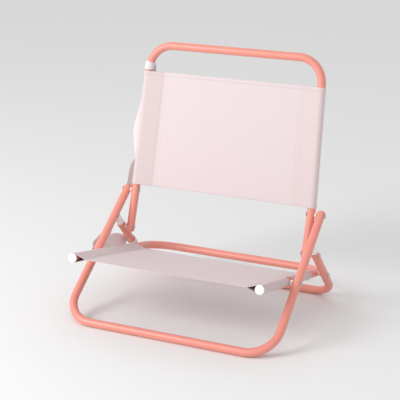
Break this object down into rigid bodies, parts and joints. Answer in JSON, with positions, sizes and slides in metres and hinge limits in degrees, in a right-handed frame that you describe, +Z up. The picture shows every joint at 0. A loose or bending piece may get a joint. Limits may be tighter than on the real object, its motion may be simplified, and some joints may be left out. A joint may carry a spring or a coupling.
{
  "type": "folding camp chair",
  "caption": "Low folding chair: bent tube frames pinned as a folding linkage, with a sling seat, a sling back and a shoulder strap.",
  "frame": {"origin": "on the floor, at the middle of the whole chair's box: on the chair's mirror plane to within 4 mm, because the strap stands out on the left, and midway between the front of the front floor bar and the back of the rear ones", "axes": "+Z up; +Y from the sitter's knees towards the back rest, so the sitter faces -Y; +X to the viewer's right when the chair is seen from its front"},
  "size_m": [0.5326, 0.4179, 0.5844],
  "materials": {
    "coral_paint": "satin powder coat",
    "coral_plastic": "satin moulded plastic",
    "white_plastic": "satin moulded plastic",
    "rivet_steel": "zinc plated",
    "back_cloth": "fine plain weave",
    "seat_cloth": "fine plain weave",
    "strap_webbing": "soft woven webbing"
  },
  "bodies": {
    "front_legs": {"front_leg_frame": "coral_paint", "front_leg_plug_left": "coral_plastic", "front_leg_plug_right": "coral_plastic", "back_pivot_rivet_left": "rivet_steel", "back_pivot_rivet_right": "rivet_steel", "back_pivot_spacer_left": "white_plastic", "back_pivot_spacer_right": "white_plastic", "seat_pivot_rivet_left": "rivet_steel", "seat_pivot_rivet_right": "rivet_steel", "seat_pivot_spacer_left": "white_plastic", "seat_pivot_spacer_right": "white_plastic"},
    "back": {"back_frame": "coral_paint", "back_frame_plug_left": "coral_plastic", "back_frame_plug_right": "coral_plastic", "link_pivot_rivet_left": "rivet_steel", "link_pivot_rivet_right": "rivet_steel", "link_pivot_spacer_left": "white_plastic", "link_pivot_spacer_right": "white_plastic", "back_sling": "back_cloth", "strap_upper_loop": "strap_webbing", "carry_strap": "strap_webbing"},
    "seat": {"seat_frame": "coral_paint", "seat_cap_left": "white_plastic", "seat_cap_right": "white_plastic", "foot_pivot_stud_left": "rivet_steel", "foot_pivot_stud_right": "rivet_steel", "seat_sling": "seat_cloth"},
    "rear_legs": {"rear_leg_frame": "coral_paint", "leg_saddle_left": "white_plastic", "leg_saddle_right": "white_plastic", "foot_pivot_rivet_left": "rivet_steel", "foot_pivot_rivet_right": "rivet_steel", "foot_pivot_spacer_left": "white_plastic", "foot_pivot_spacer_right": "white_plastic", "strap_lower_loop": "strap_webbing"}
  },
  "joints": [
    {"name": "back_fold", "type": "hinge", "parent": "front_legs", "child": "back", "pos_m": [0, 0.10201, 0.2318], "axis": [1, 0, 0], "range_deg": [0, 127.6], "deforming": ["carry_strap"]},
    {"name": "seat_fold", "type": "hinge", "parent": "front_legs", "child": "seat", "pos_m": [0, -0.04697, 0.12195], "axis": [1, 0, 0], "range_deg": [-0.01, 31.92]},
    {"name": "rear_leg_fold", "type": "hinge", "parent": "back", "child": "rear_legs", "pos_m": [0, 0.07299, 0.14798], "axis": [1, 0, 0], "range_deg": [-204.54, 0.01]}
  ],
  "couplings": [
    {"joint": "seat_fold", "follows": "back_fold", "ratio": 0.25002},
    {"joint": "rear_leg_fold", "follows": "back_fold", "ratio": -1.6029}
  ]
}
